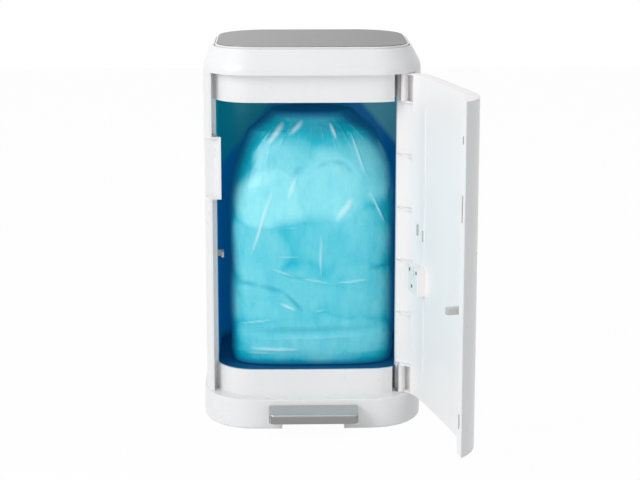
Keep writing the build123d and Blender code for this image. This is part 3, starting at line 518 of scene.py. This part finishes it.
# Faint streaks, low ridges with a painted highlight, that fan out below the neck: places across at
# their tops and their feet, and levels
FAN_COUNT = 9
FAN_TOP, FAN_TOP_PITCH, FAN_TOP_LEVEL = -0.052, 0.0125, 0.470
FAN_FOOT, FAN_FOOT_PITCH, FAN_FOOT_LEVEL, FAN_FOOT_STEP = -0.100, 0.024, 0.400, 0.012
FAN_HALF, FAN_STRENGTH = 0.0011, 0.34
FAN = tuple(
    ((FAN_TOP + FAN_TOP_PITCH * i, FAN_TOP_LEVEL),
     (FAN_FOOT + FAN_FOOT_PITCH * i, FAN_FOOT_LEVEL + FAN_FOOT_STEP * (i % 3)),
     FAN_HALF, FAN_STRENGTH)
    for i in range(FAN_COUNT)
)
# Slack folds, shallow dips darkened with painted shade: ends (x, z), half width and strength
FOLDS = (
    ((-0.122, 0.216), (-0.080, 0.214), 0.0050, 0.8),
    ((-0.086, 0.214), (-0.040, 0.203), 0.0046, 0.8),
    ((-0.046, 0.205), (-0.012, 0.170), 0.0034, 0.9),
    ((-0.050, 0.232), (-0.006, 0.223), 0.0032, 0.6),
    ((0.082, 0.238), (0.126, 0.242), 0.0034, 0.9),
    ((0.006, 0.398), (0.030, 0.407), 0.0045, 0.45),
    ((0.026, 0.407), (0.054, 0.402), 0.0045, 0.5),
    ((0.050, 0.403), (0.062, 0.388), 0.0040, 0.4),
    ((-0.122, 0.140), (0.122, 0.146), 0.0060, 0.6),
    ((-0.030, 0.386), (-0.014, 0.400), 0.0060, 0.5),
    ((-0.100, 0.302), (-0.060, 0.306), 0.0060, 0.3),
)
MARKS = ("press", "pale", "edge", "streak", "fold")
# How far and how often the edges of the pressed patches stray from plain ovals
WANDER_REACH, WANDER_RATE = 0.013, 24.0


class BagForm:
    """Outline of the hanging bag and what presses on its film, from its lowest ring to its neck."""

    def __init__(self, sizes):
        self.sizes = sizes
        self.centre = Vector(((BAG_LOW.x + BAG_HIGH.x) / 2, (BAG_LOW.y + BAG_HIGH.y) / 2, 0.0))
        self.low, self.high = BAG_LOW.z + 0.0012, BAG_HIGH.z - 0.001
        self.half_x = (BAG_HIGH.x - BAG_LOW.x) / 2
        self.half_y = (BAG_HIGH.y - BAG_LOW.y) / 2
        neck = sizes.neck_half / self.half_x
        # share of the bag's height at each part of the way from the base's middle to the neck
        self.rise = [(0.0, 0.0), (0.10, 0.0), (0.16, 0.05), (0.90, 0.992), (0.95, 1.0), (1.0, 1.0)]
        self.left = [(0.0, 0.02), (0.09, 0.95), (0.16, 0.99), (0.55, 1.0), (0.64, 0.985),
                     (0.69, 0.96), (0.74, 0.92), (0.79, 0.86), (0.84, 0.775), (0.90, neck),
                     (0.95, neck * 0.6), (1.0, 0.02)]
        self.right = [(0.0, 0.02), (0.09, 0.95), (0.16, 0.99), (0.60, 1.0), (0.68, 0.988),
                      (0.73, 0.955), (0.78, 0.885), (0.84, 0.77), (0.90, neck),
                      (0.95, neck * 0.6), (1.0, 0.02)]
        self.depth = [(0.0, 0.02), (0.09, 0.94), (0.16, 0.985), (0.55, 1.0), (0.68, 0.94),
                      (0.90, 0.50), (0.95, 0.34), (1.0, 0.02)]
        self.turn = [(share, t) for t, share in self.rise[1:-1]]

    def side(self, across, t):
        """How far the plain bag reaches from its middle, to the right or to the left."""
        return (self.half_x - 0.002) * straight_path(self.right if across > 0.0 else self.left, t)

    def outline(self, angle, t):
        """A point of the plain bag."""
        level = self.low + (self.high - self.low) * straight_path(self.rise, t)
        square = 2.0 + 1.8 * (1.0 - smoothstep(0.55, 0.9, t))
        cosine, sine = math.cos(angle), math.sin(angle)
        reach = (abs(cosine) ** square + abs(sine) ** square) ** (-1.0 / square)
        return self.centre + Vector((
            self.side(cosine, t) * cosine * reach,
            (self.half_y - 0.004) * straight_path(self.depth, t) * sine * reach,
            level,
        ))

    def slack(self, t):
        """How much wider the film was before it was gathered."""
        return 1.0 + self.sizes.slack * smoothstep(0.55, 0.88, t) * (1.0 - smoothstep(0.90, 0.97, t))

    def press(self, spot):
        """How hard a nappy presses on the film at a point, 0 to 1, and how pale it is there."""
        push = pale = 0.0
        place = spot + WANDER_REACH * wander(spot * WANDER_RATE)
        for middle, half, tone in NAPPIES:
            away = sum(((place[i] - middle[i]) / half[i]) ** 2 for i in range(3))
            if away < 1.9:
                near = 1.0 - smoothstep(0.1, 1.9, away)
                push = max(push, near)
                pale = max(pale, tone * (1.0 - smoothstep(0.45, 1.35, away)))
        # the film hangs free of the nappies below its neck
        return push, pale * (1.0 - 0.85 * smoothstep(-0.066, -0.030, spot.z - self.high))

    def line(self, spot, lines, mirror):
        """Strength of the nearest line of a list at a point of the front or, mirrored, the back."""
        across = -spot.x if mirror else spot.x
        best = 0.0
        for (x0, z0), (x1, z1), half, strength in lines:
            run_x, run_z = x1 - x0, z1 - z0
            length = math.hypot(run_x, run_z)
            along = ((across - x0) * run_x + (spot.z - z0) * run_z) / length
            if -half < along < length + half:
                off = ((across - x0) * run_z - (spot.z - z0) * run_x) / length
                off += 0.0004 * math.sin(along * 90.0)
                taper = math.sin(math.pi * min(1.0, max(0.0, along / length))) ** 0.8
                if abs(off) < 3.0 * half:
                    best = max(best, strength * taper * math.exp(-((off / half) ** 2)))
        return best

    def edge(self, spot):
        """How far the film is darkened with painted shade towards the dark lining behind it, at its
        sides, neck and base.
        """
        across = spot.x - self.centre.x
        share = (spot.z - self.low) / (self.high - self.low)
        upper = smoothstep(0.7, 1.0, share)
        reach = self.side(across, straight_path(self.turn, share)) - 0.007 - 0.006 * upper
        if across > 0.0:
            reach -= 0.018 * smoothstep(0.84, 1.0, share)
        blur = 0.009 + 0.008 * upper
        wave = 0.004 * noise.noise(Vector((spot.x * 9.0, 4.0, spot.z * 14.0)))
        sides = smoothstep(-blur, blur, abs(across) + wave - reach)
        neck = smoothstep(-0.018, -0.003, spot.z - self.high)
        return max(sides, neck, 1.0 - smoothstep(-0.002, 0.012, spot.z - self.low))


def settled(bag, form, rest):
    """Lets the film settle as cloth under a little pressure, and gives where each point ends."""
    sizes = form.sizes
    start = [vert.co.copy() for vert in bag.data.vertices]
    bag.shape_key_add(name="Basis")
    loose = bag.shape_key_add(name="loose")
    for point, place in zip(loose.data, rest):
        point.co = place
    held = bag.vertex_groups.new(name="held")
    for index, place in enumerate(start):
        share = (place.z - form.low) / (form.high - form.low)
        weight = max(smoothstep(0.985, 0.999, share), 1.0 - smoothstep(0.0, 0.02, share))
        held.add([index], weight, "REPLACE")
    cloth = bag.modifiers.new("film", "CLOTH")
    settings = cloth.settings
    settings.quality = 4
    settings.mass = 0.05
    settings.tension_stiffness = settings.compression_stiffness = 12.0
    settings.shear_stiffness = 4.0
    settings.bending_stiffness = 0.02
    settings.tension_damping = settings.compression_damping = 8.0
    settings.air_damping = 3.0
    settings.use_pressure = True
    settings.uniform_pressure_force = 0.6
    settings.vertex_group_mass = "held"
    settings.rest_shape_key = loose
    settings.effector_weights.gravity = 0.0
    cloth.collision_settings.use_collision = False
    cloth.point_cache.frame_start = 1
    cloth.point_cache.frame_end = sizes.settle
    scene = bpy.context.scene
    for step in range(1, sizes.settle + 1):
        scene.frame_set(step)
    shaped = bag.evaluated_get(bpy.context.evaluated_depsgraph_get())
    ends = [vert.co.copy() for vert in shaped.data.vertices]
    bag.modifiers.remove(cloth)
    bag.shape_key_clear()
    bag.vertex_groups.clear()
    scene.frame_set(1)
    moved = []
    for place, end in zip(start, ends):
        step = end - place
        limit = sizes.fold_limit
        moved.append(place + step * (limit / max(limit, step.length)))
    return moved


def bag_grid(form):
    """Closed rings of film from the middle of the base up to the neck."""
    sizes = form.sizes
    bm = bmesh.new()
    made = bmesh.ops.create_circle(bm, cap_ends=True, segments=sizes.around, radius=1.0)
    ring = [e for e in bm.edges if len(e.link_faces) == 1]
    rows = [list(made["verts"])]
    for _ in range(sizes.along):
        grown = bmesh.ops.extrude_edge_only(bm, edges=ring)["geom"]
        ring = [e for e in grown if isinstance(e, bmesh.types.BMEdge) and len(e.link_faces) == 1]
        rows.append([v for v in grown if isinstance(v, bmesh.types.BMVert)])
    loose = {}
    for step, row in enumerate(rows):
        t = step / sizes.along
        for vert in row:
            angle = math.atan2(vert.co.y, vert.co.x)
            vert.co = form.outline(angle, t)
            wide = vert.co - form.centre
            loose[vert] = form.centre + Vector((wide.x * form.slack(t), wide.y * form.slack(t), wide.z))
    bmesh.ops.holes_fill(bm, edges=ring, sides=0)
    bmesh.ops.recalc_face_normals(bm, faces=bm.faces)
    bm.verts.index_update()
    rest = [loose[vert] for vert in bm.verts]
    return bm, rest


def make_liner_bag(sizes, looks):
    """The hanging film bag, full of wrapped nappies, in place of its plain solid."""
    form = BagForm(sizes)
    bm, rest = bag_grid(form)
    bag = piece_from(bm, "liner_bag_film", bag_film("bag film", looks), "body")
    for vert, place in zip(bag.data.vertices, settled(bag, form, rest)):
        vert.co = place
    film = bmesh.new()
    film.from_mesh(bag.data)
    bmesh.ops.subdivide_edges(film, edges=film.edges, cuts=1, use_grid_fill=True, smooth=0.6)
    film.normal_update()
    marks = {name: film.verts.layers.float.new(name) for name in MARKS}
    pushes = []
    for vert in film.verts:
        spot, out = vert.co, vert.normal
        mirror = spot.y > form.centre.y
        press, pale = form.press(spot)
        streak = form.line(spot, STREAKS + FAN, mirror)
        fold = form.line(spot, FOLDS, mirror)
        vert[marks["press"]], vert[marks["pale"]] = press, pale
        vert[marks["streak"]], vert[marks["fold"]] = streak, fold
        vert[marks["edge"]] = form.edge(spot)
        side = smoothstep(0.006, 0.03, spot.z - form.low) * smoothstep(0.0, 0.02, form.high - spot.z)
        push = (sizes.lump_depth * (press - 1.0) * 0.5 + sizes.streak_height * streak
                - sizes.fold_depth * fold)
        pushes.append(out * push * side)
    for vert, push in zip(film.verts, pushes):
        vert.co += push
        vert.co.x = min(max(vert.co.x, BAG_LOW.x), BAG_HIGH.x)
        vert.co.y = min(max(vert.co.y, BAG_LOW.y), BAG_HIGH.y)
        vert.co.z = min(max(vert.co.z, BAG_LOW.z), BAG_HIGH.z)
    film.to_mesh(bag.data)
    film.free()
    bag.data.shade_smooth()
    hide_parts("liner_bag")
    return bag


# Middle of each cover on the inner panel: from front to back, and its level
COVERS = ((-0.131, 0.311), (-0.152, 0.306))


def on_panel(across, level):
    """The point of the open door's inner panel that lies level with a point across the chamber."""
    panel = NODES["door_inner"]
    found, place, out, _ = panel.ray_cast(Vector((-0.3, across, level)), Vector((1.0, 0.0, 0.0)))
    if not found:
        raise RuntimeError(f"no door panel at {across:.3f}, {level:.3f}")
    return place, out


def add_plate(bm, across, length, low, high, height, cut=0.0):
    """A thin plate on the door's inner panel, its ends cut back by cut."""
    made = bmesh.ops.create_cube(bm, size=1.0)["verts"]
    foot, out = on_panel(across, (low + high) / 2)
    run = Vector((-out.y, out.x, 0.0)).normalized()
    for vert in made:
        along, up, off = vert.co.x, vert.co.z, vert.co.y + 0.5
        rise = (high - low) / 2 - cut * off
        vert.co = foot + run * (along * length) + out * (off * height)
        vert.co.z = (low + high) / 2 + 2.0 * up * rise


def make_door_trims(sizes, looks):
    """A bead down the inner panel, level with the doorway, and two catches' covers beside it."""
    bm = bmesh.new()
    low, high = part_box("door_inner")
    add_plate(bm, sizes.bead_across, sizes.bead_width, low.z + sizes.bead_inset,
              high.z - sizes.bead_inset, sizes.bead_height)
    bmesh.ops.recalc_face_normals(bm, faces=bm.faces)
    white = moulded_plastic("bead white", looks.panel_white, 0.44, 0.00006)
    bead = piece_from(bm, "door_bead", white, "door")
    bead.data.shade_flat()
    bm = bmesh.new()
    for across, level in COVERS:
        add_plate(bm, across, sizes.cover_width, level - sizes.cover_half,
                  level + sizes.cover_half, sizes.cover_height, sizes.cover_cut)
    bmesh.ops.recalc_face_normals(bm, faces=bm.faces)
    grey = moulded_plastic("cover grey", looks.grey_moulding, 0.42, 0.00005)
    covers = piece_from(bm, "door_covers", grey, "door")
    covers.data.shade_flat()


# ---- operators --------------------------------------------------------------------------------
class NAPPY_OT_shell(bpy.types.Operator):
    """Finish the white mouldings of the shell and the door"""

    bl_idname = "nappy_bin.shell"
    bl_label = "Finish shell and door"

    def execute(self, context):
        looks = context.scene.bin_finishes
        gloss = moulded_plastic("shell white", looks.shell_white, 0.30, 0.00003, 0.15)
        dress(gloss, "base", "rear_shell", "front_frame", "top_cap", "lid_frame", "door_outer")
        matt = moulded_plastic("panel white", looks.panel_white, 0.44, 0.00006)
        dress(matt, "door_inner", "hinge_strip", "cutter_housing", "base_plate")
        grey = moulded_plastic("grey moulding", looks.grey_moulding, 0.42, 0.00005)
        dress(grey, "door_catch", "latch_bolt")
        return {"FINISHED"}


class NAPPY_OT_chamber(bpy.types.Operator):
    """Finish the chamber's lining, the cassette and the clamp"""

    bl_idname = "nappy_bin.chamber"
    bl_label = "Finish chamber"

    def execute(self, context):
        looks = context.scene.bin_finishes
        dress(chamber_lining("chamber lining", looks), "inner_drum")
        dress(moulded_plastic("cassette moulding", looks.cassette_white, 0.4, 0.00005), "cassette")
        dress(gathered_film("gathered film", looks.film_pack), "film_pack")
        dark = moulded_plastic("dark moulding", looks.dark_moulding, 0.45, 0.00007)
        dress(dark, "clamp_frame", "clamp_flap_left", "clamp_flap_right", "rod_guides")
        dress(dark, "lid_crank", "pedal_lever")
        return {"FINISHED"}


class NAPPY_OT_metal(bpy.types.Operator):
    """Finish the steel lid plate, the pedal, the pins, the rod and the screws"""

    bl_idname = "nappy_bin.metal"
    bl_label = "Finish metal and rubber"

    def execute(self, context):
        looks = context.scene.bin_finishes
        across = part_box("lid_plate")
        # painted reflection: the lid plate's colour darkens from left to right
        lid_reflection = ("X", across[0].x, across[1].x, 0.93, 0.57)
        dress(brushed_metal("brushed lid", looks.steel, "X", 0.36, lid_reflection), "lid_plate")
        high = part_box("pedal_cover")[1].z
        # painted highlight: the pedal's top rim lightened
        pedal_rim_highlight = ("Z", high - 0.007, high - 0.003, 1.0, 1.9)
        dress(brushed_metal("brushed pedal", looks.steel, "X", 0.34, pedal_rim_highlight), "pedal_cover")
        plated = plated_metal("plated steel", looks.plated, 0.28)
        dress(plated, "base_screws", "pedal_shaft", "push_rod", "lid_pin", "clamp_pins")
        dress(plated, "door_pin_lower", "door_pin_upper")
        dress(plated_metal("black zinc", looks.black_zinc, 0.35), "cutter_screws")
        ground = ("Z", 0.0, 1.0, 1.0, 1.0)
        dress(brushed_metal("ground blade", looks.plated, "Z", 0.22, ground), "cutter_blade")
        dress(soft_rubber("rubber", looks.rubber), "feet", "lid_seal")
        return {"FINISHED"}


class NAPPY_OT_bag(bpy.types.Operator):
    """Make the liner bag"""

    bl_idname = "nappy_bin.bag"
    bl_label = "Liner bag"

    def execute(self, context):
        make_liner_bag(context.scene.bag_sizes, context.scene.bin_finishes)
        return {"FINISHED"}


class NAPPY_OT_trims(bpy.types.Operator):
    """Make the bead and the covers of the door's inner panel"""

    bl_idname = "nappy_bin.trims"
    bl_label = "Door trims"

    def execute(self, context):
        make_door_trims(context.scene.trim_sizes, context.scene.bin_finishes)
        return {"FINISHED"}


class NAPPY_OT_stage(bpy.types.Operator):
    """Make the floor, the lamps, the background and the camera"""

    bl_idname = "nappy_bin.stage"
    bl_label = "Stage"

    def execute(self, context):
        sizes = context.scene.stage_sizes
        lay_floor(sizes)
        light_sky(sizes)
        for name, (place, target, size) in LAMPS.items():
            soft_lamp(f"{name} lamp", place, target, size, getattr(sizes, name))
        set_camera(context, sizes)
        context.scene.view_settings.view_transform = "Standard"
        return {"FINISHED"}


def seen_rays(nodes, links):
    """1 for rays that look at the background straight, in a gloss or through glass."""
    path = nodes.new("ShaderNodeLightPath")
    straight = reckoned(nodes, links, "MAXIMUM", path.outputs["Is Camera Ray"],
                        path.outputs["Is Glossy Ray"])
    return reckoned(nodes, links, "MAXIMUM", straight, path.outputs["Is Transmission Ray"])


def lay_floor(sizes):
    """A pale floor that keeps the object's shadow."""
    bm = bmesh.new()
    bmesh.ops.create_grid(bm, x_segments=1, y_segments=1, size=sizes.floor_half)
    mesh = bpy.data.meshes.new("floor")
    bm.to_mesh(mesh)
    bm.free()
    floor = bpy.data.objects.new("floor", mesh)
    bpy.context.scene.collection.objects.link(floor)
    material, nodes, links, shader = new_finish("pale floor")
    shader.inputs["Base Color"].default_value = (0.86, 0.86, 0.86, 1.0)
    shader.inputs["Roughness"].default_value = 0.9
    glow = nodes.new("ShaderNodeEmission")
    blend = nodes.new("ShaderNodeMixShader")
    share = reckoned(nodes, links, "MULTIPLY", seen_rays(nodes, links), sizes.floor_glow)
    links.new(share, blend.inputs["Fac"])
    links.new(shader.outputs["BSDF"], blend.inputs[1])
    links.new(glow.outputs["Emission"], blend.inputs[2])
    links.new(blend.outputs["Shader"], nodes["Material Output"].inputs["Surface"])
    mesh.materials.append(material)


def light_sky(sizes):
    """Even light from all round, and a white background."""
    world = bpy.data.worlds.new("sky")
    bpy.context.scene.world = world
    world.use_nodes = True
    nodes, links = world.node_tree.nodes, world.node_tree.links
    even = nodes["Background"]
    even.inputs["Strength"].default_value = sizes.sky
    even.inputs["Color"].default_value = (0.99, 0.995, 1.0, 1.0)
    white = nodes.new("ShaderNodeBackground")
    white.inputs["Color"].default_value = (1.0, 1.0, 1.0, 1.0)
    blend = nodes.new("ShaderNodeMixShader")
    links.new(seen_rays(nodes, links), blend.inputs["Fac"])
    links.new(even.outputs["Background"], blend.inputs[1])
    links.new(white.outputs["Background"], blend.inputs[2])
    links.new(blend.outputs["Shader"], nodes["World Output"].inputs["Surface"])


# Lamps, with the same names as their powers: place, the point each looks at, and its size
LAMPS = {
    "key": ((-2.2, -2.0, 1.75), (0.0, 0.0, 0.32), 1.8),
    "fill": ((0.9, -3.0, 0.9), (0.0, 0.0, 0.28), 1.6),
    "top": ((-0.2, 0.3, 2.6), (0.0, 0.0, 0.3), 1.6),
}


def soft_lamp(name, place, target, size, power):
    """A square area lamp turned to a point."""
    data = bpy.data.lights.new(name, "AREA")
    data.size = size
    data.energy = power
    lamp = bpy.data.objects.new(name, data)
    bpy.context.scene.collection.objects.link(lamp)
    lamp.location = place
    lamp.rotation_euler = (Vector(target) - Vector(place)).to_track_quat("-Z", "Y").to_euler()


def set_camera(context, sizes):
    """The camera at the photograph's angle."""
    data = bpy.data.cameras.new("camera")
    data.lens = sizes.lens
    data.sensor_width = 36.0
    data.shift_y = sizes.camera_shift
    camera = bpy.data.objects.new("camera", data)
    context.scene.collection.objects.link(camera)
    camera.location = sizes.camera_place
    level = math.cos(sizes.camera_tilt)
    heading = Vector((
        math.sin(sizes.camera_yaw) * level,
        math.cos(sizes.camera_yaw) * level,
        -math.sin(sizes.camera_tilt),
    ))
    camera.rotation_euler = heading.to_track_quat("-Z", "Y").to_euler()
    context.scene.camera = camera


class NAPPY_PT_looks(bpy.types.Panel):
    """Lists the pieces and finishes of the bin"""

    bl_idname = "NAPPY_PT_looks"
    bl_label = "Nappy bin"
    bl_space_type = "VIEW_3D"
    bl_region_type = "UI"
    bl_category = "Nappy bin"

    def draw(self, context):
        for operator in OPERATORS:
            self.layout.operator(operator.bl_idname)
        for held in GROUPS:
            group = getattr(context.scene, held)
            for name in group.bl_rna.properties.keys():
                if name not in ("rna_type", "name"):
                    self.layout.prop(group, name)


OPERATORS = (
    NAPPY_OT_shell,
    NAPPY_OT_chamber,
    NAPPY_OT_metal,
    NAPPY_OT_bag,
    NAPPY_OT_trims,
    NAPPY_OT_stage,
)
GROUPS = {
    "bin_finishes": BinFinishes,
    "bag_sizes": BagSizes,
    "trim_sizes": TrimSizes,
    "stage_sizes": StageSizes,
}


def register():
    """Registers the groups, the operators and the panel."""
    for name, group in GROUPS.items():
        bpy.utils.register_class(group)
        setattr(bpy.types.Scene, name, PointerProperty(type=group))
    for cls in (*OPERATORS, NAPPY_PT_looks):
        bpy.utils.register_class(cls)


def unregister():
    """Takes them out again."""
    for cls in reversed((*OPERATORS, NAPPY_PT_looks)):
        bpy.utils.unregister_class(cls)
    for name, group in reversed(GROUPS.items()):
        delattr(bpy.types.Scene, name)
        bpy.utils.unregister_class(group)


def main():
    """Registers the add-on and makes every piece."""
    register()
    bpy.ops.nappy_bin.shell()
    bpy.ops.nappy_bin.chamber()
    bpy.ops.nappy_bin.metal()
    bpy.ops.nappy_bin.bag()
    bpy.ops.nappy_bin.trims()
    bpy.ops.nappy_bin.stage()


if __name__ == "__main__":
    main()
